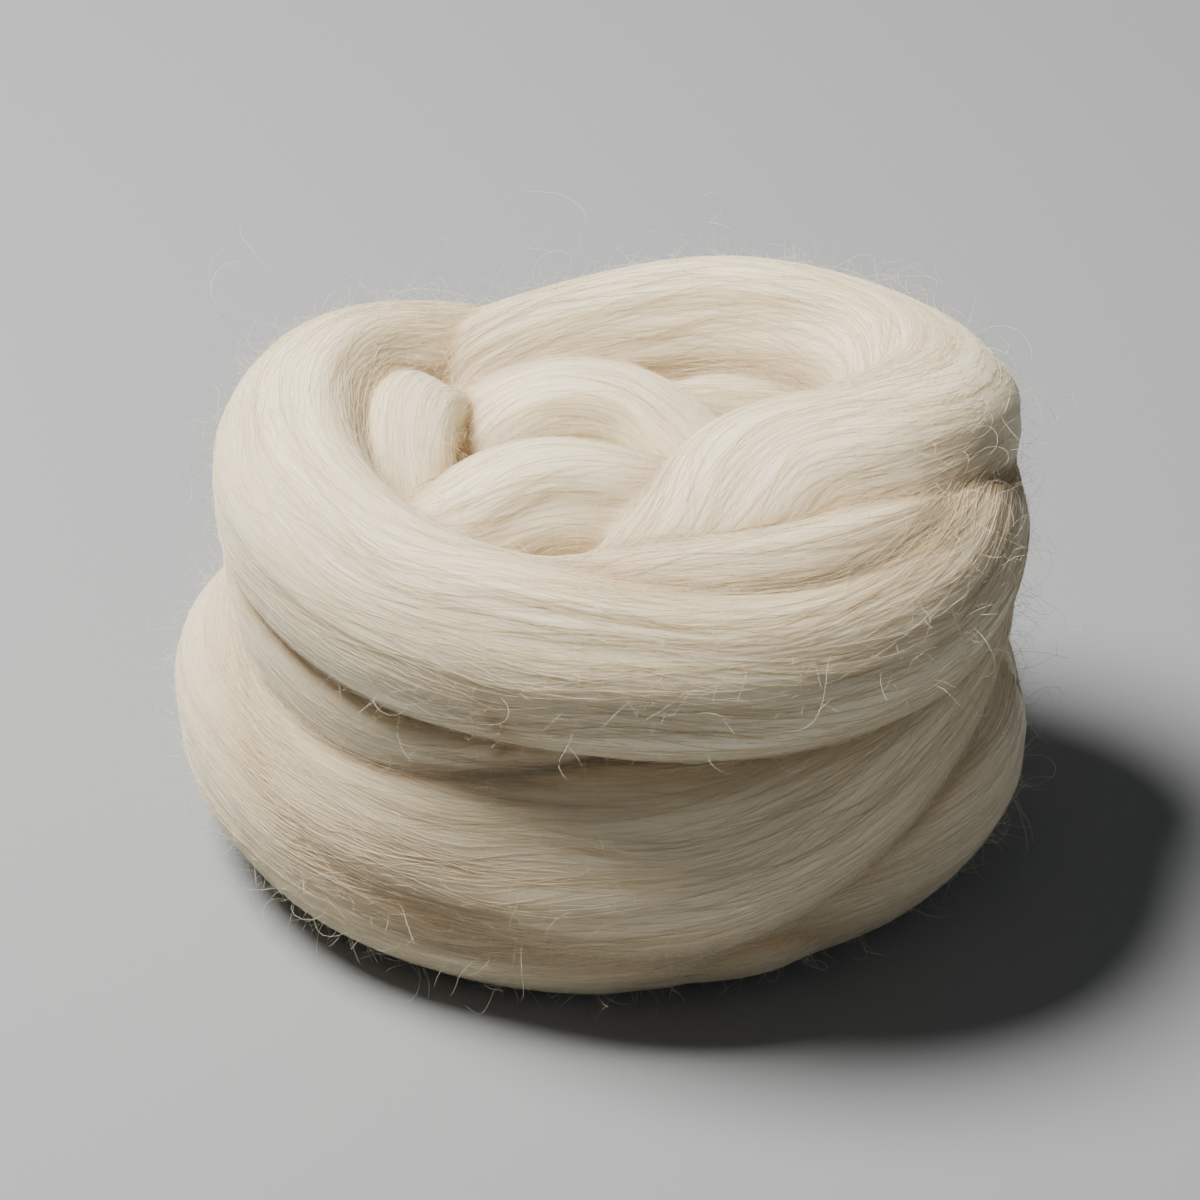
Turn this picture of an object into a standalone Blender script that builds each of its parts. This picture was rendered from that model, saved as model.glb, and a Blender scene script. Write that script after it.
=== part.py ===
# Wool roving: one long soft rope of combed wool, laid round on itself into a nest about 17 cm across.
# Two wide turns lie on each other with thinner turns between them, the last turns fold over the rim
# and three short coils fill the hollow. Metres, +Z up, +X right, +Y back, origin under the middle.

import math
from collections import namedtuple

import bpy
import numpy as np
from mathutils import Matrix, Vector

MM = 0.001

# One row for each place where a turn changes direction or size, in millimetres and degrees:
# x, y, z of the rope's middle there, how tall and how thick the rope is, and how far it leans inwards.
Section = namedtuple("Section", "x y z tall thick lean")
Turn = namedtuple("Turn", "closed sections")

TURNS = {
    # The widest turn, which the nest stands on. It bulges on the left and squashes flat underneath.
    "base": Turn(True, (
        Section(59, 0, 25, 56, 48, 0),
        Section(46, 37, 25, 56, 48, 0),
        Section(4, 50, 25, 56, 48, 0),
        Section(-42, 42, 25, 56, 50, 0),
        Section(-61, 6, 28, 62, 54, 0),
        Section(-45, -32, 25, 56, 48, 0),
        Section(-4, -47, 24, 54, 48, 0),
        Section(44, -30, 24, 54, 46, 0),
    )),
    # Crosses the front low down, climbs on the right and sinks again along the back.
    "wrap": Turn(False, (
        Section(-58, 26, 37, 40, 34, 0),
        Section(-62, 0, 37, 44, 38, 0),
        Section(-48, -34, 33, 46, 40, 0),
        Section(-18, -51, 31, 50, 40, 0),
        Section(16, -53, 34, 48, 40, 0),
        Section(44, -39, 44, 44, 38, 0),
        Section(62, -12, 57, 40, 34, 0),
        Section(60, 18, 60, 36, 32, 0),
        Section(38, 45, 57, 36, 32, -10),
        Section(4, 57, 50, 36, 30, -15),
        Section(-32, 55, 42, 34, 28, -10),
        Section(-58, 36, 36, 30, 24, 0),
    )),
    # The thin turn in the crease between the two levels, which dies away at the front.
    "middle": Turn(False, (
        Section(34, 48, 62, 24, 24, 0),
        Section(0, 54, 64, 28, 26, 0),
        Section(-36, 48, 66, 30, 28, 0),
        Section(-60, 20, 67, 26, 24, 0),
        Section(-65, -4, 65, 25, 20, 0),
        Section(-58, -27, 61, 20, 18, 0),
        Section(-40, -45, 57, 19, 20, 0),
        Section(-14, -56, 55, 14, 16, 0),
        Section(10, -58, 54, 12, 12, 0),
    )),
    # The rim, highest at the left.
    "rim": Turn(False, (
        Section(10, 46, 67, 30, 30, 0),
        Section(-25, 48, 73, 34, 32, 0),
        Section(-50, 34, 80, 38, 36, 0),
        Section(-62, 8, 84, 40, 34, 0),
        Section(-58, -20, 82, 38, 32, 0),
        Section(-38, -42, 78, 36, 34, 0),
        Section(-6, -54, 76, 36, 34, 0),
        Section(25, -54, 74, 34, 32, 0),
        Section(50, -41, 73, 34, 32, 0),
        Section(63, -16, 72, 36, 34, 0),
        Section(64, 14, 71, 36, 34, 0),
        Section(46, 38, 69, 34, 32, 0),
    )),
    # A thin lock along the top of the rim, at the front right.
    "rim_lock": Turn(False, (
        Section(-24, -46, 81, 20, 20, 0),
        Section(8, -46, 85, 20, 22, 0),
        Section(35, -40, 86, 20, 22, 0),
        Section(56, -24, 84, 22, 24, 0),
        Section(66, 2, 81, 26, 26, 0),
    )),
    # The last turn: over the back, round the right and flat down across the front of the hollow.
    "crown": Turn(False, (
        Section(-44, 20, 63, 24, 24, 0),
        Section(-30, 38, 77, 30, 28, 0),
        Section(-2, 47, 82, 34, 32, 0),
        Section(26, 47, 85, 36, 32, 0),
        Section(52, 34, 85, 36, 34, 0),
        Section(64, 12, 86, 36, 36, 30),
        Section(53, -6, 86, 42, 30, 60),
        Section(35, -16, 85, 48, 28, 65),
        Section(20, -31, 80, 42, 28, 52),
        Section(0, -47, 76, 30, 26, 30),
        Section(-20, -54, 71, 24, 22, 0),
    )),
    # Lines the hollow under the crown.
    "lining": Turn(False, (
        Section(56, 4, 77, 28, 22, 0),
        Section(44, 24, 75, 30, 22, 0),
        Section(22, 32, 73, 30, 22, 0),
        Section(0, 32, 67, 26, 22, 0),
    )),
    # The three coils in the hollow: one arched at the back, one lying at the front, one small loop.
    "arch": Turn(False, (
        Section(-32, 6, 57, 26, 26, 0),
        Section(-27, 16, 73, 28, 28, 0),
        Section(-12, 22, 79, 30, 30, 0),
        Section(4, 20, 77, 32, 28, 0),
        Section(16, 8, 71, 30, 26, 0),
        Section(20, -10, 63, 26, 24, 0),
    )),
    "front_coil": Turn(False, (
        Section(40, -4, 63, 24, 26, 0),
        Section(22, -8, 73, 28, 28, 0),
        Section(6, -12, 77, 32, 32, 0),
        Section(-14, -14, 81, 32, 34, 0),
        Section(-30, -20, 77, 30, 30, 0),
        Section(-44, -24, 71, 26, 26, 0),
    )),
    "loop": Turn(False, (
        Section(-40, -24, 69, 26, 24, 0),
        Section(-42, -8, 81, 24, 24, 0),
        Section(-41, 8, 87, 22, 23, 0),
        Section(-38, 18, 83, 20, 22, 0),
        Section(-36, 22, 67, 18, 22, 0),
    )),
    # A fold that shows under the front right.
    "tuck": Turn(False, (
        Section(6, -54, 13, 24, 22, 0),
        Section(28, -51, 13, 25, 22, 0),
        Section(43, -38, 13, 22, 20, 0),
    )),
}

# The unseen turns in the middle and under it, as ellipsoids of these half sizes, in millimetres.
Filling = namedtuple("Filling", "x y z half_wide half_deep half_tall")
HEART = (
    Filling(0, 0, 41, 54, 48, 35),
    Filling(0, 2, 23, 46, 38, 21),
)

STEPS = 8            # cross-sections worked out between two rows
SIDES = 20           # points round one cross-section
END_ROUNDING = 0.25  # how far a turn's end swells out, as a share of its thickness

GRID = 3.0 * MM      # turns closer than this grow into one
SOFTEN = 8           # passes that ease the steps of that grid
FINENESS = 0.27      # share of the triangles kept on the solid

WOOL_COLOUR = (0.80, 0.73, 0.60, 1.0)
WOOL_ROUGHNESS = 0.75


def clear_scene():
    for old in list(bpy.data.objects):
        bpy.data.objects.remove(old)


def smooth_route(turn):
    """Rows through the turn's sections on a Catmull-Rom curve."""
    rows = np.array(turn.sections, dtype=float)
    if turn.closed:
        padded = np.vstack([rows[-1:], rows, rows[:2]])
    else:
        padded = np.vstack([2 * rows[0] - rows[1], rows, 2 * rows[-1] - rows[-2]])
    route = []
    for a, b, c, d in zip(padded, padded[1:], padded[2:], padded[3:]):
        for t in np.arange(STEPS) / STEPS:
            bend = (2 * a - 5 * b + 4 * c - d) * t ** 2 + (3 * b - a - 3 * c + d) * t ** 3
            route.append(0.5 * (2 * b + (c - a) * t + bend))
    if not turn.closed:
        route.append(rows[-1])
    return np.array(route)


def directions(places, closed):
    if closed:
        ahead = np.roll(places, -1, axis=0) - np.roll(places, 1, axis=0)
    else:
        ahead = np.gradient(places, axis=0)
    return ahead / np.linalg.norm(ahead, axis=1, keepdims=True)


def cross_section(place, ahead, tall, thick, lean):
    """The points of an ellipse round the rope's middle, square to its direction."""
    inward = np.cross(ahead, (0.0, 0.0, 1.0))
    inward /= np.linalg.norm(inward)
    upward = np.cross(inward, ahead)
    tall_way = math.cos(lean) * upward + math.sin(lean) * inward
    thick_way = math.cos(lean) * inward - math.sin(lean) * upward
    angles = 2 * math.pi * np.arange(SIDES) / SIDES
    return (
        place
        + np.outer(np.cos(angles), tall_way) * tall / 2
        + np.outer(np.sin(angles), thick_way) * thick / 2
    )


def add_turn(name, turn):
    """One turn of the rope as a closed tube, with rounded ends unless it runs into itself."""
    route = smooth_route(turn)
    places = route[:, :3] * MM
    ahead = directions(places, turn.closed)
    tall, thick = route[:, 3] * MM, route[:, 4] * MM
    lean = np.radians(route[:, 5])
    rings = [cross_section(*row) for row in zip(places, ahead, tall, thick, lean)]
    points = [tuple(point) for ring in rings for point in ring]
    faces = []
    count = len(rings)
    for ring in range(count if turn.closed else count - 1):
        here, there = ring * SIDES, (ring + 1) % count * SIDES
        for side in range(SIDES):
            beside = (side + 1) % SIDES
            faces.append((here + side, here + beside, there + beside, there + side))
    if not turn.closed:
        last = (count - 1) * SIDES
        first_tip = len(points)
        points.append(tuple(places[0] - ahead[0] * thick[0] * END_ROUNDING))
        points.append(tuple(places[-1] + ahead[-1] * thick[-1] * END_ROUNDING))
        for side in range(SIDES):
            beside = (side + 1) % SIDES
            faces.append((beside, side, first_tip))
            faces.append((last + side, last + beside, first_tip + 1))
    return add_object(name, points, faces)


def add_object(name, points, faces):
    mesh = bpy.data.meshes.new(name)
    mesh.from_pydata(points, [], faces)
    mesh.validate()
    made = bpy.data.objects.new(name, mesh)
    bpy.context.scene.collection.objects.link(made)
    return made


def add_filling(filling):
    bpy.ops.mesh.primitive_uv_sphere_add(segments=32, ring_count=16, radius=1.0)
    made = bpy.context.object
    made.name = "filling"
    half_sizes = Vector((filling.half_wide, filling.half_deep, filling.half_tall)) * MM
    middle = Vector((filling.x, filling.y, filling.z)) * MM
    made.data.transform(Matrix.Translation(middle) @ Matrix.Diagonal((*half_sizes, 1.0)))
    return made


def join(pieces):
    bpy.ops.object.select_all(action="DESELECT")
    for piece in pieces:
        piece.select_set(True)
    bpy.context.view_layer.objects.active = pieces[0]
    bpy.ops.object.join()
    return bpy.context.object


def apply_all(made):
    bpy.context.view_layer.objects.active = made
    for modifier in list(made.modifiers):
        bpy.ops.object.modifier_apply(modifier=modifier.name)


def grow_together(nest):
    """The overlapping turns become one closed skin."""
    remesh = nest.modifiers.new("one skin", "REMESH")
    remesh.mode = "VOXEL"
    remesh.voxel_size = GRID
    ease = nest.modifiers.new("ease", "SMOOTH")
    ease.iterations = SOFTEN
    thin = nest.modifiers.new("thin out", "DECIMATE")
    thin.ratio = FINENESS
    apply_all(nest)


def centre(nest):
    """Puts the middle of the nest's box over the origin, and leaves its height alone."""
    places = np.array([corner.co for corner in nest.data.vertices])
    middle = (places.min(axis=0) + places.max(axis=0)) / 2
    nest.data.transform(Matrix.Translation((-middle[0], -middle[1], 0.0)))


def rest_flat(nest):
    """Wool below the surface that the nest stands on is squashed flat, so it is cut off there."""
    size = 0.3
    bpy.ops.mesh.primitive_cube_add(size=size, location=(0.0, 0.0, -size / 2))
    ground = bpy.context.object
    ground.name = "ground_cutter"
    ground.hide_render = True
    ground.display_type = "WIRE"
    cut = nest.modifiers.new("flat underside", "BOOLEAN")
    cut.operation = "DIFFERENCE"
    cut.object = ground


def wool():
    material = bpy.data.materials.new("wool")
    material.use_nodes = True
    shader = material.node_tree.nodes["Principled BSDF"]
    shader.inputs["Base Color"].default_value = WOOL_COLOUR
    shader.inputs["Roughness"].default_value = WOOL_ROUGHNESS
    shader.inputs["Metallic"].default_value = 0.0
    return material


clear_scene()
pieces = [add_turn(name, turn) for name, turn in TURNS.items()]
pieces += [add_filling(filling) for filling in HEART]
roving = join(pieces)
roving.name = "roving"
grow_together(roving)
centre(roving)
rest_flat(roving)
roving.data.materials.clear()
roving.data.materials.append(wool())
roving.data.shade_smooth()
roving.data.set_sharp_from_angle(angle=math.radians(50))
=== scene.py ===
import math

import bpy
import numpy as np
from mathutils import Matrix, Vector, noise
from mathutils.bvhtree import BVHTree


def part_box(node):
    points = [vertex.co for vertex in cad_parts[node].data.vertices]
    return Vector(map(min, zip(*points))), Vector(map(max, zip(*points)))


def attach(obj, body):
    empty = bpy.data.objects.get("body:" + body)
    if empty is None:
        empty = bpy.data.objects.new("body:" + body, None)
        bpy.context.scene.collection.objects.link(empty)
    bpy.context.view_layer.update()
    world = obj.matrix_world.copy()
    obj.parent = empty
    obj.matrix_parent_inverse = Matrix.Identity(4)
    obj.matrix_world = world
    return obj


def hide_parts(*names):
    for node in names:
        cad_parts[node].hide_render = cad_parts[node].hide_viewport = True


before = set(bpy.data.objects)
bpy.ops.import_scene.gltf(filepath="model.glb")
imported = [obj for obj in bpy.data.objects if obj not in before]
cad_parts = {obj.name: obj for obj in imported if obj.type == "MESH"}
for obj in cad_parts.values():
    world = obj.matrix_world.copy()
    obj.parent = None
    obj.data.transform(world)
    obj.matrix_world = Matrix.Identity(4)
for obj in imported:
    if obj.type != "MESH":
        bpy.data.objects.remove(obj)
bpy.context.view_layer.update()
mm = 0.001

camera = dict(
    elevation=34,           # degrees above the surface
    distance=1.2,           # metres
    lens=180,               # mm on a 36 mm sensor, for a nearly flat view
    target=(0, 0, 53.5),    # mm
)


def aim(thing, target):
    thing.rotation_euler = (Vector(target) - thing.location).to_track_quat("-Z", "Y").to_euler()


def addCamera():
    tilt = math.radians(camera["elevation"])
    target = Vector(camera["target"]) * mm
    data = bpy.data.cameras.new("camera")
    made = bpy.data.objects.new("camera", data)
    bpy.context.scene.collection.objects.link(made)
    data.lens = camera["lens"]
    data.sensor_width = 36
    made.location = target + Vector((0, -math.cos(tilt), math.sin(tilt))) * camera["distance"]
    aim(made, target)
    bpy.context.scene.camera = made


def addSoftbox(name, place, size, power, tint, facing=(0, 0, 50)):
    data = bpy.data.lights.new(name, "AREA")
    data.shape = "DISK"
    data.size = size
    data.energy = power
    data.color = tint
    made = bpy.data.objects.new(name, data)
    bpy.context.scene.collection.objects.link(made)
    made.location = place
    aim(made, Vector(facing) * mm)


def linear(hexColour, alpha=1.0):
    # sRGB hex to the linear values that shaders take
    channels = [int(hexColour[i:i + 2], 16) / 255 for i in (1, 3, 5)]
    return [c / 12.92 if c <= 0.04045 else ((c + 0.055) / 1.055) ** 2.4 for c in channels] + [alpha]


studio = dict(
    keyPlace=(-0.50, 0.16, 1.0),      # metres: high, to the left and a little behind
    keySize=0.50,                     # metres across
    keyPower=36,                      # watts
    keyTint=(1.0, 0.97, 0.91),
    fillPlace=(0.9, -0.9, 0.6),
    fillSize=1.2,
    fillPower=1.0,
    fillTint=(0.92, 0.96, 1.0),
    air="#c9ced6",
    airStrength=0.11,
    floor="#8f9295",
    floorSize=8,                      # metres
    floorGap=0.2,                     # mm below the wool, so that the two never share a plane
)


def addStudio():
    for light in ("key", "fill"):
        place, size, power, tint = [studio[light + part] for part in ("Place", "Size", "Power", "Tint")]
        addSoftbox(light + " softbox", place, size, power, tint)
    world = bpy.data.worlds.new("studio")
    world.use_nodes = True
    background = world.node_tree.nodes["Background"]
    background.inputs["Color"].default_value = linear(studio["air"])
    background.inputs["Strength"].default_value = studio["airStrength"]
    bpy.context.scene.world = world
    bpy.ops.mesh.primitive_plane_add(size=studio["floorSize"], location=(0, 0, -studio["floorGap"] * mm))
    floor = bpy.context.object
    floor.name = "floor"
    paper = bpy.data.materials.new("paper floor")
    paper.use_nodes = True
    shader = paper.node_tree.nodes["Principled BSDF"]
    shader.inputs["Base Color"].default_value = linear(studio["floor"])
    shader.inputs["Roughness"].default_value = 0.9
    floor.data.materials.append(paper)


addCamera()
addStudio()
print("camera and studio set")

# Each turn of the rope: whether it closes on itself, then a row where it changes direction or size.
# x, y, z of its middle, how tall and how thick it is there, mm, and how far it leans inwards, degrees.
turns = {
    "base": (True, (
        (59, 0, 25, 56, 48, 0),
        (46, 37, 25, 56, 48, 0),
        (4, 50, 25, 56, 48, 0),
        (-42, 42, 25, 56, 50, 0),
        (-61, 6, 28, 62, 54, 0),
        (-45, -32, 25, 56, 48, 0),
        (-4, -47, 24, 54, 48, 0),
        (44, -30, 24, 54, 46, 0),
    )),
    "wrap": (False, (
        (-58, 26, 37, 40, 34, 0),
        (-62, 0, 37, 44, 38, 0),
        (-48, -34, 33, 46, 40, 0),
        (-18, -51, 31, 50, 40, 0),
        (16, -53, 34, 48, 40, 0),
        (44, -39, 44, 44, 38, 0),
        (62, -12, 57, 40, 34, 0),
        (60, 18, 60, 36, 32, 0),
        (38, 45, 57, 36, 32, -10),
        (4, 57, 50, 36, 30, -15),
        (-32, 55, 42, 34, 28, -10),
        (-58, 36, 36, 30, 24, 0),
    )),
    "middle": (False, (
        (34, 48, 62, 24, 24, 0),
        (0, 54, 64, 28, 26, 0),
        (-36, 48, 66, 30, 28, 0),
        (-60, 20, 66, 30, 26, 0),
        (-65, -4, 64, 31, 25, 0),
        (-58, -27, 60, 26, 22, 0),
        (-41, -45, 56, 20, 20, 0),
        (-16, -53, 55, 14, 14, 0),
        (10, -50, 54, 8, 10, 0),
    )),
    "rim": (False, (
        (10, 46, 67, 30, 30, 0),
        (-25, 48, 73, 34, 32, 0),
        (-50, 34, 80, 38, 36, 0),
        (-62, 8, 84, 40, 34, 0),
        (-58, -20, 82, 38, 32, 0),
        (-38, -42, 78, 36, 34, 0),
        (-6, -54, 76, 36, 34, 0),
        (25, -54, 74, 34, 32, 0),
        (50, -41, 73, 34, 32, 0),
        (63, -16, 72, 36, 34, 0),
        (64, 14, 71, 36, 34, 0),
        (46, 38, 69, 34, 32, 0),
    )),
    "rimLock": (False, (
        (-24, -46, 81, 20, 20, 0),
        (8, -46, 85, 20, 22, 0),
        (35, -40, 86, 20, 22, 0),
        (57, -22, 82, 20, 24, 0),
        (65, 4, 77, 18, 20, 0),
        (58, 26, 71, 12, 14, 0),
    )),
    "crown": (False, (
        (-44, 20, 63, 24, 24, 0),
        (-30, 38, 77, 30, 28, 0),
        (-2, 47, 82, 34, 32, 0),
        (26, 47, 85, 36, 32, 0),
        (52, 34, 85, 36, 34, 0),
        (64, 12, 86, 36, 36, 30),
        (53, -6, 86, 42, 30, 60),
        (35, -16, 85, 48, 28, 65),
        (20, -31, 80, 42, 28, 52),
        (0, -47, 76, 30, 26, 30),
        (-20, -54, 71, 24, 22, 0),
    )),
    "lining": (False, (
        (56, 4, 77, 28, 22, 0),
        (44, 24, 75, 30, 22, 0),
        (22, 32, 73, 30, 22, 0),
        (0, 32, 67, 26, 22, 0),
    )),
    "arch": (False, (
        (-32, 6, 57, 26, 26, 0),
        (-27, 16, 73, 28, 28, 0),
        (-12, 22, 79, 30, 30, 0),
        (4, 20, 77, 32, 28, 0),
        (16, 8, 71, 30, 26, 0),
        (20, -10, 63, 26, 24, 0),
    )),
    "frontCoil": (False, (
        (40, -4, 63, 24, 26, 0),
        (22, -8, 73, 28, 28, 0),
        (6, -12, 77, 32, 32, 0),
        (-14, -14, 81, 32, 34, 0),
        (-30, -20, 77, 30, 30, 0),
        (-44, -24, 71, 26, 26, 0),
    )),
    "loop": (False, (
        (-40, -24, 69, 26, 24, 0),
        (-42, -8, 81, 24, 24, 0),
        (-41, 8, 87, 22, 23, 0),
        (-38, 18, 83, 20, 22, 0),
        (-36, 22, 67, 18, 22, 0),
    )),
    "tuck": (False, (
        (6, -54, 13, 24, 22, 0),
        (28, -51, 13, 25, 22, 0),
        (43, -38, 13, 22, 20, 0),
    )),
}
fillings = (                  # unseen wool in the middle: x, y, z of each ball and its half sizes, mm
    (0, 0, 41, 54, 48, 35),
    (0, 2, 23, 46, 38, 21),
)


def routeOf(closed, rows, steps=14):
    # the turn's middle line and its two widths, on a Catmull-Rom curve through the rows
    rows = np.array(rows, float)
    if closed:
        padded = np.vstack([rows[-1:], rows, rows[:2]])
    else:
        padded = np.vstack([2 * rows[0] - rows[1], rows, 2 * rows[-1] - rows[-2]])
    samples = []
    for a, b, c, d in zip(padded, padded[1:], padded[2:], padded[3:]):
        for t in np.arange(steps) / steps:
            bend = (2 * a - 5 * b + 4 * c - d) * t ** 2 + (3 * b - a - 3 * c + d) * t ** 3
            samples.append(0.5 * (2 * b + (c - a) * t + bend))
    samples.append(rows[0] if closed else rows[-1])
    samples = np.array(samples)
    places = samples[:, :3] * mm
    if closed:
        ring = places[:-1]
        ahead = np.roll(ring, -1, axis=0) - np.roll(ring, 1, axis=0)
        ahead = np.vstack([ahead, ahead[:1]])
    else:
        ahead = np.gradient(places, axis=0)
    ahead /= np.linalg.norm(ahead, axis=1, keepdims=True)
    inward = np.cross(ahead, (0, 0, 1))
    inward /= np.linalg.norm(inward, axis=1, keepdims=True)
    upward = np.cross(inward, ahead)
    lean = np.radians(samples[:, 5:6])
    gaps = np.linalg.norm(np.diff(places, axis=0), axis=1)
    return dict(
        closed=closed,
        places=places,
        ahead=ahead,
        tallWay=np.cos(lean) * upward + np.sin(lean) * inward,
        thickWay=np.cos(lean) * inward - np.sin(lean) * upward,
        tall=samples[:, 3] * mm / 2,      # half sizes from here on
        thick=samples[:, 4] * mm / 2,
        along=np.concatenate([[0], np.cumsum(gaps)]),
    )


def along(route, key, s):
    # one of the route's columns, read at the distances s
    column = route[key]
    if column.ndim == 1:
        return np.interp(s, route["along"], column)
    return np.stack([np.interp(s, route["along"], column[:, i]) for i in range(3)], axis=-1)


def onTurn(route, s, angle):
    # points on the turn's surface at distances s and angles round it
    up = np.cos(angle) * along(route, "tall", s)
    side = np.sin(angle) * along(route, "thick", s)
    return (along(route, "places", s) + up[..., None] * along(route, "tallWay", s)
            + side[..., None] * along(route, "thickWay", s))


routes = {name: routeOf(*turn) for name, turn in turns.items()}
routeList = list(routes.values())
print("routes of", len(routes), "turns laid out,",
      round(sum(route["along"][-1] for route in routes.values()), 2), "m of rope")

skin = dict(
    grid=1.2,            # mm, the mesh's fineness
    soften=5,            # passes that ease the grid's steps
    sides=32,            # points round a turn before they grow together
    endRounding=0.5,     # how far a turn's end swells, in half thicknesses
    lockRelief=1.3,      # mm, how far broad locks stand out
    lockWidth=11,        # mm across the flow
    lockLength=70,       # mm along it
    strandRelief=0.25,   # mm, the finer strands in them
    strandWidth=3.2,
    strandLength=45,
    creaseWidth=2.5,     # mm over which one turn's crease fades on the next
    creaseCalm=0.7,      # share of the relief that a crease takes away
    bandGap=1.03,        # height of a turn's band on the flow map, in girths of the turn
    mapStart=0.01,       # metres left free at the start of the flow map
    mapSlack=1.04,       # the map's length, in lengths of the longest turn
)
noiseGain = 1.6                   # brings noise that stays within about 0.6 up to 1
noiseStep = (7.3, 3.1, 5.7)       # so that no two turns share a pattern
noiseStart = dict(locks=0, strands=50, drift=90)


def deselectAll():
    for thing in list(bpy.context.selected_objects):
        thing.select_set(False)


def addMesh(name, points, faces):
    mesh = bpy.data.meshes.new(name)
    mesh.from_pydata(points, [], faces)
    made = bpy.data.objects.new(name, mesh)
    bpy.context.scene.collection.objects.link(made)
    return made


def tubeOf(name, route):
    sides = skin["sides"]
    count = len(route["places"]) - (1 if route["closed"] else 0)
    angles = np.linspace(0, 2 * np.pi, sides, endpoint=False)
    s = route["along"][:count]
    points = onTurn(route, np.repeat(s, sides), np.tile(angles, count)).tolist()
    faces = []
    for ring in range(count if route["closed"] else count - 1):
        here, there = ring * sides, (ring + 1) % count * sides
        for side in range(sides):
            beside = (side + 1) % sides
            faces.append((here + side, here + beside, there + beside, there + side))
    if not route["closed"]:
        swell = skin["endRounding"] * route["thick"]
        first, last = len(points), (count - 1) * sides
        points.append((route["places"][0] - route["ahead"][0] * swell[0]).tolist())
        points.append((route["places"][-1] + route["ahead"][-1] * swell[-1]).tolist())
        for side in range(sides):
            beside = (side + 1) % sides
            faces.append((beside, side, first))
            faces.append((last + side, last + beside, first + 1))
    return addMesh(name, points, faces)


def applyModifier(piece, kind, **settings):
    bpy.context.view_layer.objects.active = piece
    made = piece.modifiers.new(kind.lower(), kind)
    for key, value in settings.items():
        setattr(made, key, value)
    bpy.ops.object.modifier_apply(modifier=made.name)


def growTogether():
    pieces = [tubeOf(name, route) for name, route in routes.items()]
    for x, y, z, wide, deep, tall in fillings:
        bpy.ops.mesh.primitive_uv_sphere_add(segments=48, ring_count=24, radius=1)
        made = bpy.context.object      # a ball, pulled to its own sizes
        scale = Matrix.Diagonal((wide * mm, deep * mm, tall * mm, 1))
        made.data.transform(Matrix.Translation(Vector((x, y, z)) * mm) @ scale)
        pieces.append(made)
    deselectAll()
    for piece in pieces:
        piece.select_set(True)
    bpy.context.view_layer.objects.active = pieces[0]
    bpy.ops.object.join()
    piece = bpy.context.object
    piece.name = piece.data.name = "combed_wool"
    applyModifier(piece, "REMESH", mode="VOXEL", voxel_size=skin["grid"] * mm)
    applyModifier(piece, "SMOOTH", iterations=skin["soften"])
    return piece


def vertexColumn(piece, key):
    flat = np.empty(len(piece.data.vertices) * 3, np.float32)
    piece.data.vertices.foreach_get(key, flat)
    return flat.reshape(-1, 3)


def vertexPlaces(piece):
    return vertexColumn(piece, "co").astype(float)


def vertexNormals(piece):
    return vertexColumn(piece, "normal")


def setPlaces(piece, places):
    piece.data.vertices.foreach_set("co", places.astype(np.float32).ravel())
    piece.data.update()


def centreOnFrame(piece):
    # the routes and the skin move so that the skin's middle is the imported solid's
    places = vertexPlaces(piece)
    low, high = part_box("roving")
    move = (np.array(low) + np.array(high)) / 2 - (places.min(axis=0) + places.max(axis=0)) / 2
    move[2] = 0
    setPlaces(piece, places + move)
    for route in routes.values():
        route["places"] = route["places"] + move


def readTurn(points, route, chunk=4000):
    # for each point: how far outside the turn it is, how far along it, and where round it
    apart, s, angle, sample = [], [], [], []
    for start in range(0, len(points), chunk):
        part = points[start:start + chunk]
        nearest = ((part[:, None] - route["places"][None]) ** 2).sum(axis=2).argmin(axis=1)
        offset = part - route["places"][nearest]
        forward = (offset * route["ahead"][nearest]).sum(axis=1)
        up = (offset * route["tallWay"][nearest]).sum(axis=1) / route["tall"][nearest]
        side = (offset * route["thickWay"][nearest]).sum(axis=1) / route["thick"][nearest]
        half = np.minimum(route["tall"], route["thick"])[nearest]
        outside = (np.hypot(up, side) - 1) * half
        if not route["closed"]:
            atEnd = nearest == len(route["places"]) - 1
            beyond = np.where(nearest == 0, -forward, np.where(atEnd, forward, -1))
            outside = np.maximum(outside, beyond - skin["endRounding"] * route["thick"][nearest])
        apart.append(outside)
        s.append(route["along"][nearest] + forward)
        angle.append(np.arctan2(side, up))
        sample.append(nearest)
    return np.concatenate(apart), np.concatenate(s), np.concatenate(angle), np.concatenate(sample)


def readNest(points):
    # which turn each point is on, its place on that turn, and how near the next turn is
    apart, s, angle, sample = map(np.stack, zip(*[readTurn(points, route) for route in routeList]))
    order = np.argsort(apart, axis=0)
    owner = order[0]
    every = np.arange(len(points))
    gap = apart[order[1], every] - apart[owner, every]
    return owner, s[owner, every], angle[owner, every], sample[owner, every], gap


def flowNoise(owner, s, angle, width, length, start):
    # noise that is long along the rope and short across it, one value for each point
    half = np.array([(route["tall"].mean() + route["thick"].mean()) / 2 for route in routeList])
    radius = half[owner] / (width * mm)
    points = np.stack([s / (length * mm), radius * np.cos(angle), radius * np.sin(angle)], axis=1)
    points += np.stack([owner * noiseStep[0] + start, owner * noiseStep[1], owner * noiseStep[2]], axis=1)
    return np.array([noise.noise(point) for point in points.tolist()])


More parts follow.
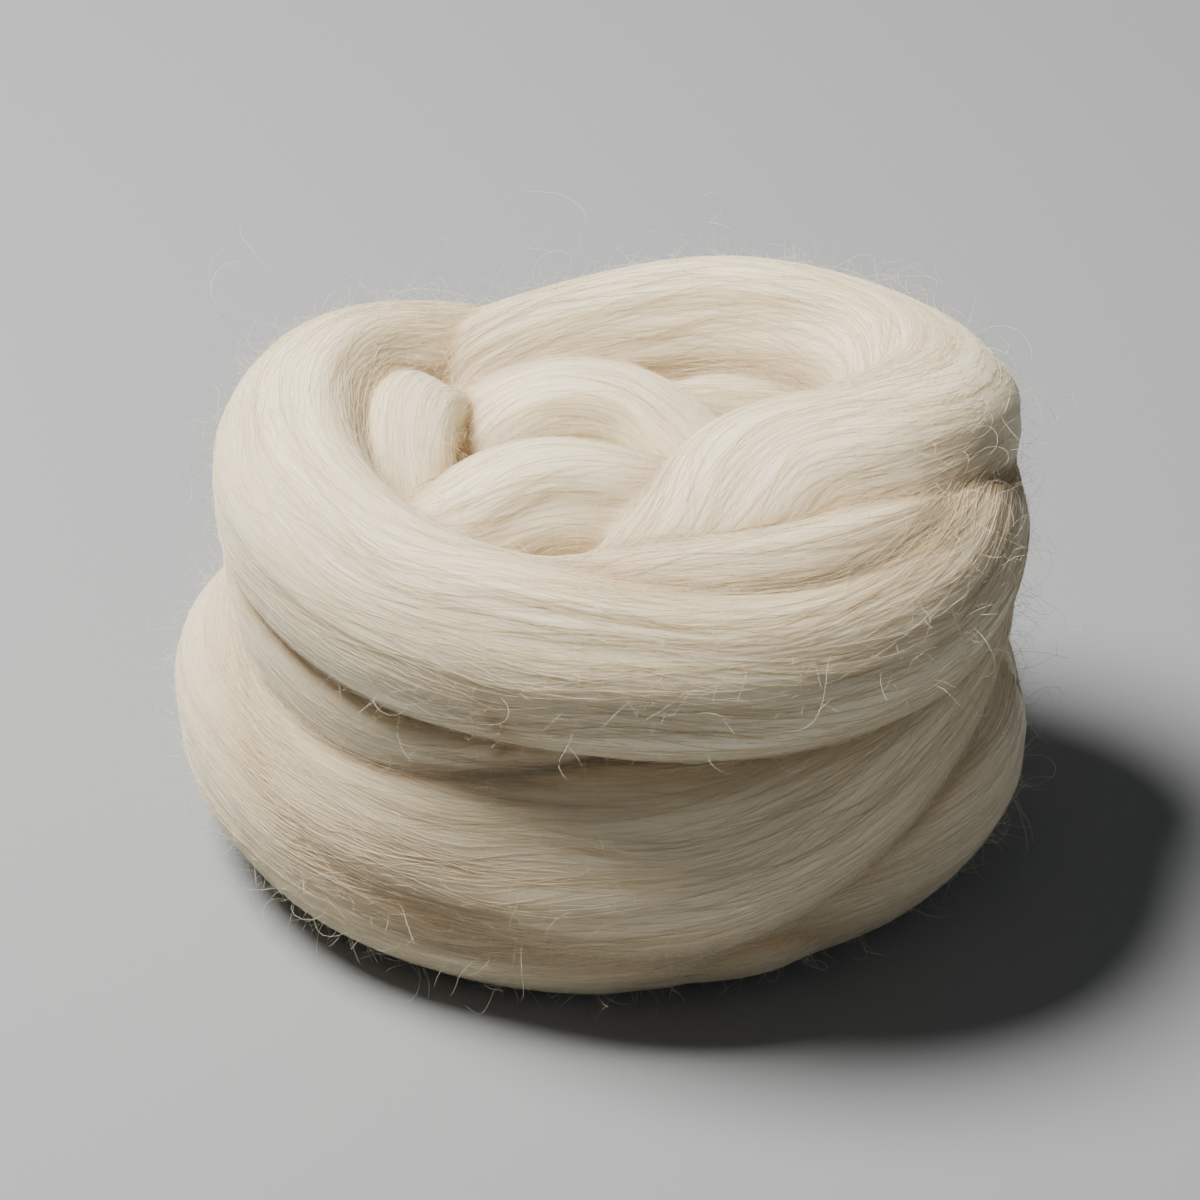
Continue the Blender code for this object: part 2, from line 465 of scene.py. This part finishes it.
def raiseLocks(piece):
    # locks and strands stand out along the rope, and each point notes how deep in a crease it is, which the
    # material uses to paint shade into the creases
    places = vertexPlaces(piece)
    owner, s, angle, sample, gap = readNest(places)
    locks = flowNoise(owner, s, angle, skin["lockWidth"], skin["lockLength"], noiseStart["locks"])
    strands = flowNoise(owner, s, angle, skin["strandWidth"], skin["strandLength"], noiseStart["strands"])
    relief = (locks * skin["lockRelief"] + strands * skin["strandRelief"]) * mm * noiseGain
    inCrease = np.exp(-gap / (skin["creaseWidth"] * mm))
    relief *= 1 - skin["creaseCalm"] * inCrease
    places += vertexNormals(piece) * relief[:, None]
    places[:, 2] = np.maximum(places[:, 2], 0)
    setPlaces(piece, places)
    # crease depth kept for painted shade: the skin's colour turns warm tan where it lies deep in a crease
    crease = piece.data.attributes.new("crease", "FLOAT", "POINT")
    crease.data.foreach_set("value", inCrease.astype(np.float32))


def mapFlow(piece):
    # a map on which x runs along the rope and y round it, each turn in its own band
    mesh = piece.data
    places = vertexPlaces(piece)
    corners = np.empty(len(mesh.loops), np.int32)
    mesh.loops.foreach_get("vertex_index", corners)
    totals = np.empty(len(mesh.polygons), np.int32)
    mesh.polygons.foreach_get("loop_total", totals)
    face = np.repeat(np.arange(len(totals)), totals)
    middles = np.stack([np.bincount(face, places[corners][:, i]) for i in range(3)], axis=1)
    middles /= totals[:, None]
    owner, s, angle, sample, gap = readNest(middles)
    u = np.empty(len(corners))
    v = np.empty(len(corners))
    bandStart = 0.0
    for index, route in enumerate(routeList):
        girth = np.pi * (route["tall"].max() + route["thick"].max())
        here = owner[face] == index
        at = sample[face][here]
        offset = places[corners][here] - route["places"][at]
        forward = (offset * route["ahead"][at]).sum(axis=1)
        up = (offset * route["tallWay"][at]).sum(axis=1) / route["tall"][at]
        side = (offset * route["thickWay"][at]).sum(axis=1) / route["thick"][at]
        turned = np.arctan2(side, up) - angle[face][here]
        turned = (turned + np.pi) % (2 * np.pi) - np.pi
        u[here] = route["along"][at] + forward
        v[here] = bandStart + ((angle[face][here] + turned) / (2 * np.pi) + 0.5) * girth
        bandStart += girth * skin["bandGap"]
    flowSize = (max(route["along"][-1] for route in routeList) * skin["mapSlack"], bandStart)
    spots = np.stack([(u + skin["mapStart"]) / flowSize[0], v / flowSize[1]], axis=1)
    flow = mesh.uv_layers.new(name="OFBake")
    flow.data.foreach_set("uv", spots.astype(np.float32).ravel())
    return flowSize        # metres


wool = growTogether()
centreOnFrame(wool)
raiseLocks(wool)
flowSize = mapFlow(wool)
wool.data.shade_smooth()
print("skin made,", len(wool.data.polygons), "faces")

combed = dict(
    pieces=3,              # meshes that share the fibres
    perPiece=4650,         # fibres in each
    points=8,              # along one fibre
    spare=2,               # more points on the way there, before it is laid down
    length=(26, 52),       # mm, shortest and longest
    shortShare=0.55,       # share of that length on the small turns
    shortTurns=("arch", "frontCoil", "loop", "lining", "tuck", "middle"),
    width=(0.06, 0.10),    # mm; wool is 0.03 mm, drawn coarser so that single fibres show
    lift=(0.03, 0.40),     # mm above the skin
    waver=(0.6, 1.0),      # share of its lift that a fibre keeps from point to point
    wander=1.6,            # mm that a fibre drifts sideways with its lock
    driftWidth=14,         # mm across and along, the size of that drift
    driftLength=30,
    stray=0.13,            # how far fibres cross their neighbours, as a slope
    buried=3.0,            # mm inside another turn where a fibre stops
    underside=2.0,         # mm, below which no fibre is laid on skin that faces down
    facesDown=-0.8,        # how far down such skin faces, -1 straight down
    fewest=4,              # points that have to show, or the fibre is left out
    smallestBatch=400,     # fibres tried at a time
    oversupply=1.6,        # more are tried than are needed, because many turn out to be buried
)


def skinTree(piece):
    places = vertexPlaces(piece)
    faces = [tuple(face.vertices) for face in piece.data.polygons]
    return BVHTree.FromPolygons(places.tolist(), faces)


def resample(path, count):
    # the same polyline with evenly spaced points
    gaps = np.linalg.norm(np.diff(path, axis=0), axis=1)
    reach = np.concatenate([[0], np.cumsum(gaps)])
    even = np.linspace(0, reach[-1], count)
    return np.stack([np.interp(even, reach, path[:, i]) for i in range(3)], axis=1)


def layOnSkin(tree, path, lift):
    # the longest stretch of the path that shows, snapped to the skin and lifted off it
    stretches = [([], [])]
    for point, rise in zip(path, lift):
        place, normal, index, distance = tree.find_nearest(point)
        below = normal.z < combed["facesDown"] and place.z < combed["underside"] * mm
        if below or distance > combed["buried"] * mm:
            stretches.append(([], []))
            continue
        stretches[-1][0].append(place + normal * rise)
        stretches[-1][1].append(normal)
    settled, outwards = max(stretches, key=lambda stretch: len(stretch[0]))
    if len(settled) < combed["fewest"]:
        return None
    return np.array(settled), np.array(outwards)


def combedBatch(route, name, index, count, rng):
    # paths that follow the turn, before they are laid on the skin
    total = route["along"][-1]
    share = combed["shortShare"] if name in combed["shortTurns"] else 1.0
    length = rng.uniform(*combed["length"], count) * mm * share
    middle = rng.uniform(0, total, count)
    points = combed["points"] + combed["spare"]
    step = np.linspace(-0.5, 0.5, points)
    s = middle[:, None] + step * length[:, None]
    s = s % total if route["closed"] else np.clip(s, 0, total)
    angle = rng.uniform(-np.pi, np.pi, count)[:, None] + np.zeros((1, points))
    radius = (along(route, "tall", s) + along(route, "thick", s)) / 2
    slope = rng.normal(0, combed["stray"], count)[:, None]
    angle = angle + slope * step * length[:, None] / radius
    drift = flowNoise(np.full(s.size, index), s.ravel(), angle.ravel(),
                      combed["driftWidth"], combed["driftLength"], noiseStart["drift"]).reshape(s.shape)
    angle = angle + drift * combed["wander"] * mm * 2 / radius
    return onTurn(route, s, angle)


def growFibres(tree, count, rng):
    # each turn gets its share by its area
    areas = [route["along"][-1] * (route["tall"].mean() + route["thick"].mean()) for route in routeList]
    share = np.array(areas) / sum(areas)
    paths, outs = [], []
    while len(paths) < count:
        batch = max(combed["smallestBatch"], int((count - len(paths)) * combed["oversupply"]))
        for index, (name, route) in enumerate(routes.items()):
            candidates = combedBatch(route, name, index, int(batch * share[index]) + 1, rng)
            for path in candidates:
                rise = rng.uniform(*combed["lift"]) * mm * rng.uniform(*combed["waver"], len(path))
                laid = layOnSkin(tree, path.tolist(), rise)
                if laid is not None:
                    paths.append(resample(laid[0], combed["points"]))
                    outs.append(resample(laid[1], combed["points"]))
    order = rng.permutation(len(paths))[:count]
    return np.array(paths)[order], np.array(outs)[order]


thread = dict(
    taper=0.4,             # the lower, the blunter its ends
    floorGap=0.05,         # mm, the least height above the surface
    columns=48,            # threads side by side on the map
    cellEdge=(0.06, 0.12), # share of a thread's cell left free at its ends and at its sides
    shadeRows=110,         # rows of shades on the map
)


def fibreMesh(name, paths, outwards, widths):
    # closed three-sided threads that taper to a point at both ends
    count, points = paths.shape[:2]
    ahead = np.gradient(paths, axis=1)
    ahead /= np.linalg.norm(ahead, axis=2, keepdims=True) + 1e-12
    side = np.cross(ahead, outwards)
    side /= np.linalg.norm(side, axis=2, keepdims=True) + 1e-12
    up = np.cross(side, ahead)
    rings = points - 2
    taper = np.sin(np.pi * np.linspace(0, 1, points))[1:-1] ** thread["taper"]
    radius = widths[:, None] / 2 * taper[None, :]
    body = []
    for turn in (0, 2 * np.pi / 3, 4 * np.pi / 3):
        spoke = np.cos(turn) * up[:, 1:-1] + np.sin(turn) * side[:, 1:-1]
        body.append(paths[:, 1:-1] + spoke * radius[..., None])
    body = np.stack(body, axis=2).reshape(count, rings * 3, 3)
    corners = np.concatenate([body, paths[:, :1], paths[:, -1:]], axis=1)
    corners[..., 2] = np.maximum(corners[..., 2], thread["floorGap"] * mm)
    tip, end = rings * 3, rings * 3 + 1
    triangles = []
    for a in range(3):
        b = (a + 1) % 3
        triangles.append((tip, b, a))
        triangles.append((end, (rings - 1) * 3 + a, (rings - 1) * 3 + b))
        for ring in range(rings - 1):
            here, there = ring * 3, ring * 3 + 3
            triangles.append((here + a, here + b, there + b))
            triangles.append((here + a, there + b, there + a))
    triangles = np.array(triangles)
    each = corners.shape[1]
    faces = (triangles[None] + (np.arange(count) * each)[:, None, None]).reshape(-1, 3)
    mesh = bpy.data.meshes.new(name)
    mesh.vertices.add(count * each)
    mesh.vertices.foreach_set("co", corners.astype(np.float32).ravel())
    mesh.loops.add(len(faces) * 3)
    mesh.loops.foreach_set("vertex_index", faces.astype(np.int32).ravel())
    mesh.polygons.add(len(faces))
    mesh.polygons.foreach_set("loop_start", np.arange(0, len(faces) * 3, 3, dtype=np.int32))
    mesh.polygons.foreach_set("loop_total", np.full(len(faces), 3, dtype=np.int32))
    mesh.update()
    # each thread has a cell of the map to itself: x along it, y round it
    columns = thread["columns"]
    endEdge, sideEdge = thread["cellEdge"]
    reach = np.concatenate([np.repeat(np.arange(1, rings + 1), 3), [0, rings + 1]]) / (rings + 1)
    girth = np.concatenate([np.tile([0.0, 0.5, 1.0], rings), [0.5, 0.5]])
    cell = np.arange(count)
    x = (cell % columns)[:, None] + endEdge + (1 - 2 * endEdge) * reach[None]
    y = (cell // columns)[:, None] + sideEdge + (1 - 2 * sideEdge) * girth[None]
    spots = np.stack([x / columns, y / math.ceil(count / columns)], axis=2).reshape(-1, 2)
    flow = mesh.uv_layers.new(name="OFBake")
    flow.data.foreach_set("uv", spots[faces.ravel()].astype(np.float32).ravel())
    made = bpy.data.objects.new(name, mesh)
    bpy.context.scene.collection.objects.link(made)
    mesh.shade_smooth()
    return made


tree = skinTree(wool)
rng = np.random.default_rng(7)     # the same fibres and hairs on every run
fibrePieces = []
paths, outwards = growFibres(tree, combed["pieces"] * combed["perPiece"], rng)
for number in range(combed["pieces"]):
    part = slice(number * combed["perPiece"], (number + 1) * combed["perPiece"])
    widths = rng.uniform(*combed["width"], combed["perPiece"]) * mm
    fibrePieces.append(fibreMesh("combed_fibres_" + str(number + 1), paths[part], outwards[part], widths))
print("combed fibres laid,", combed["pieces"] * combed["perPiece"])

stray = dict(              # curly hairs here and there
    count=1500,
    points=11,
    length=(7, 22),        # mm
    width=(0.04, 0.07),    # mm
    curl=0.34,             # radians that a hair turns at each point
    rise=0.55,             # how steeply it leaves the wool, 0 flat and 1 upright
)
fuzz = dict(               # the short halo all over
    count=6000,
    points=6,
    length=(3, 11),
    width=(0.035, 0.06),
    curl=0.20,
    rise=0.42,
)
longHairs = dict(          # loose loops that stand off the top
    count=110,
    points=16,
    length=(24, 50),
    width=(0.05, 0.08),
    curl=0.30,
    rise=0.8,
    lowest=60,             # mm
    facesUp=0.2,           # how far up the skin faces where they grow, 1 straight up
)
growth = dict(             # what all of the hairs share
    reach=9,               # mm that they may stand out of the solid's box
    lowestRoot=3,          # mm
    steepestRoot=-0.7,     # how far the skin may face down where they grow, -1 straight down
    rootDepth=0.3,         # mm
    floorGap=0.3,          # mm, the least height above the surface
    riseSpread=(0.3, 1.3),
    lean=(0.3, 0.8),       # how hairs turn over towards the wool, middle and spread
    twist=0.6,             # how they turn any other way
    change=0.35,           # how fast the turning changes along a hair
)


def onTop(places, normals):
    return (places[:, 2] > longHairs["lowest"] * mm) & (normals[:, 2] > longHairs["facesUp"])


def growHairs(piece, kind, rng, where=None):
    # each hair starts flat or rising, in any direction, and turns as it goes
    places, normals = vertexPlaces(piece), vertexNormals(piece)
    uncovered = (places[:, 2] > growth["lowestRoot"] * mm) & (normals[:, 2] > growth["steepestRoot"])
    roots = np.where(uncovered)[0]
    if where is not None:
        roots = roots[where(places[roots], normals[roots])]
    count, points = kind["count"], kind["points"]
    chosen = rng.choice(roots, count, replace=False)
    place, out = places[chosen], normals[chosen].astype(float)
    across = np.cross(out, rng.normal(0, 1, place.shape))
    across /= np.linalg.norm(across, axis=1, keepdims=True)
    rise = kind["rise"] * rng.uniform(*growth["riseSpread"], count)[:, None]
    heading = across + out * rise
    heading /= np.linalg.norm(heading, axis=1, keepdims=True)
    step = rng.uniform(*kind["length"], count)[:, None] * mm / (points - 1)
    turning = np.cross(heading, out) * rng.normal(*growth["lean"], (count, 1))
    turning += rng.normal(0, growth["twist"], place.shape)
    path = [place - out * growth["rootDepth"] * mm]
    for point in range(points - 1):
        path.append(path[-1] + heading * step)
        turning += rng.normal(0, growth["change"], turning.shape)
        heading = heading + np.cross(turning, heading) * kind["curl"]
        heading /= np.linalg.norm(heading, axis=1, keepdims=True)
    path = np.stack(path, axis=1)
    low, high = [np.array(corner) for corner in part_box("roving")]
    path = np.clip(path, low - growth["reach"] * mm, high + growth["reach"] * mm)
    path[..., 2] = np.maximum(path[..., 2], growth["floorGap"] * mm)
    widths = rng.uniform(*kind["width"], count) * mm
    return path, np.repeat(out[:, None], points, axis=1), widths


hairPieces = [
    fibreMesh("stray_hairs", *growHairs(wool, stray, rng)),
    fibreMesh("short_fuzz", *growHairs(wool, fuzz, rng)),
    fibreMesh("long_hairs", *growHairs(wool, longHairs, rng, onTop)),
]
print("hairs grown,", sum(kind["count"] for kind in (stray, fuzz, longHairs)))


def addNode(tree, kind, inputs=(), **settings):
    # one node with its settings, and a value or a link for each input
    node = tree.nodes.new(kind)
    for key, value in settings.items():
        setattr(node, key, value)
    for key, value in dict(inputs).items():
        if isinstance(value, bpy.types.NodeSocket):
            tree.links.new(value, node.inputs[key])
        else:
            node.inputs[key].default_value = value
    return node


def newMaterial(name):
    made = bpy.data.materials.new(name)
    made.use_nodes = True
    return made, made.node_tree, made.node_tree.nodes["Principled BSDF"]


def combedWoolMaterial():
    # combed wool top: thousands of fibres side by side, so fine streaks run along the rope, light sinks in
    # and comes back warm, and the lustre lies across the flow;
    # the creases also get painted shade, a warm tan mixed into the base colour
    made, tree, shader = newMaterial("combed wool")
    flow = addNode(tree, "ShaderNodeUVMap", uv_map="OFBake")
    fine = addNode(tree, "ShaderNodeMapping", {
        "Vector": flow.outputs["UV"],
        "Scale": (flowSize[0] / 0.030, flowSize[1] / 0.0006, 1),    # 30 mm long, 0.6 mm across
    })
    fineStreaks = addNode(tree, "ShaderNodeTexNoise", {
        "Vector": fine.outputs["Vector"], "Scale": 1.0, "Detail": 3.0, "Roughness": 0.6,
    }, noise_dimensions="2D")
    broad = addNode(tree, "ShaderNodeMapping", {
        "Vector": flow.outputs["UV"],
        "Scale": (flowSize[0] / 0.060, flowSize[1] / 0.005, 1),     # 60 mm long, 5 mm across
    })
    broadStreaks = addNode(tree, "ShaderNodeTexNoise", {
        "Vector": broad.outputs["Vector"], "Scale": 1.0, "Detail": 2.0, "Roughness": 0.5,
    }, noise_dimensions="2D")
    shade = addNode(tree, "ShaderNodeMath", {
        0: fineStreaks.outputs["Fac"], 1: broadStreaks.outputs["Fac"],
    }, operation="ADD")
    ramp = addNode(tree, "ShaderNodeValToRGB", {"Fac": shade.outputs["Value"]})
    ramp.color_ramp.elements[0].position = 0.65
    ramp.color_ramp.elements[0].color = linear("#dfcda6")
    ramp.color_ramp.elements[1].position = 1.25
    ramp.color_ramp.elements[1].color = linear("#f2e5c8")
    # painted shade: the base colour turns warm tan by how deep in a crease the skin lies
    crease = addNode(tree, "ShaderNodeAttribute", attribute_name="crease")
    paintedCreaseShade = addNode(tree, "ShaderNodeMix", {
        "Factor": crease.outputs["Fac"], "A": ramp.outputs["Color"], "B": linear("#c4a478"),
    }, data_type="RGBA")
    bump = addNode(tree, "ShaderNodeBump", {
        "Height": fineStreaks.outputs["Fac"], "Distance": 0.0002, "Strength": 0.6,
    })
    tree.links.new(paintedCreaseShade.outputs["Result"], shader.inputs["Base Color"])
    tree.links.new(bump.outputs["Normal"], shader.inputs["Normal"])
    shader.inputs["Roughness"].default_value = 0.6
    shader.inputs["IOR"].default_value = 1.54          # keratin
    shader.inputs["Subsurface Weight"].default_value = 0.6
    shader.inputs["Subsurface Radius"].default_value = (1.0, 0.75, 0.5)
    shader.inputs["Subsurface Scale"].default_value = 0.004
    shader.inputs["Sheen Weight"].default_value = 0.1
    shader.inputs["Sheen Roughness"].default_value = 0.4
    return made


def fibreMaterial(name, dark, pale):
    # single wool fibres: clear keratin with a scaly skin, so they glint along their length
    made, tree, shader = newMaterial(name)
    flow = addNode(tree, "ShaderNodeUVMap", uv_map="OFBake")
    cells = addNode(tree, "ShaderNodeMapping", {
        "Vector": flow.outputs["UV"], "Scale": (thread["columns"], thread["shadeRows"], 1),
    })
    each = addNode(tree, "ShaderNodeVectorMath", {0: cells.outputs["Vector"]}, operation="FLOOR")
    pick = addNode(tree, "ShaderNodeTexWhiteNoise", {"Vector": each.outputs["Vector"]}, noise_dimensions="2D")
    ramp = addNode(tree, "ShaderNodeValToRGB", {"Fac": pick.outputs["Value"]})
    ramp.color_ramp.elements[0].color = linear(dark)
    ramp.color_ramp.elements[1].color = linear(pale)
    tree.links.new(ramp.outputs["Color"], shader.inputs["Base Color"])
    shader.inputs["Roughness"].default_value = 0.42
    shader.inputs["IOR"].default_value = 1.54
    shader.inputs["Sheen Weight"].default_value = 0.1
    return made


wool.data.materials.clear()
wool.data.materials.append(combedWoolMaterial())
for pieces, shades in (
    (fibrePieces, fibreMaterial("wool fibre", "#e6d7b4", "#f5e9cc")),
    (hairPieces, fibreMaterial("stray wool fibre", "#eee2c6", "#faf2de")),
):
    for piece in pieces:
        piece.data.materials.append(shades)

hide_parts("roving")
for piece in [wool] + fibrePieces + hairPieces:
    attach(piece, "root")
print("materials and bodies set,", sum(len(piece.data.polygons) for piece in fibrePieces + hairPieces),
      "triangles of fibres and hairs")
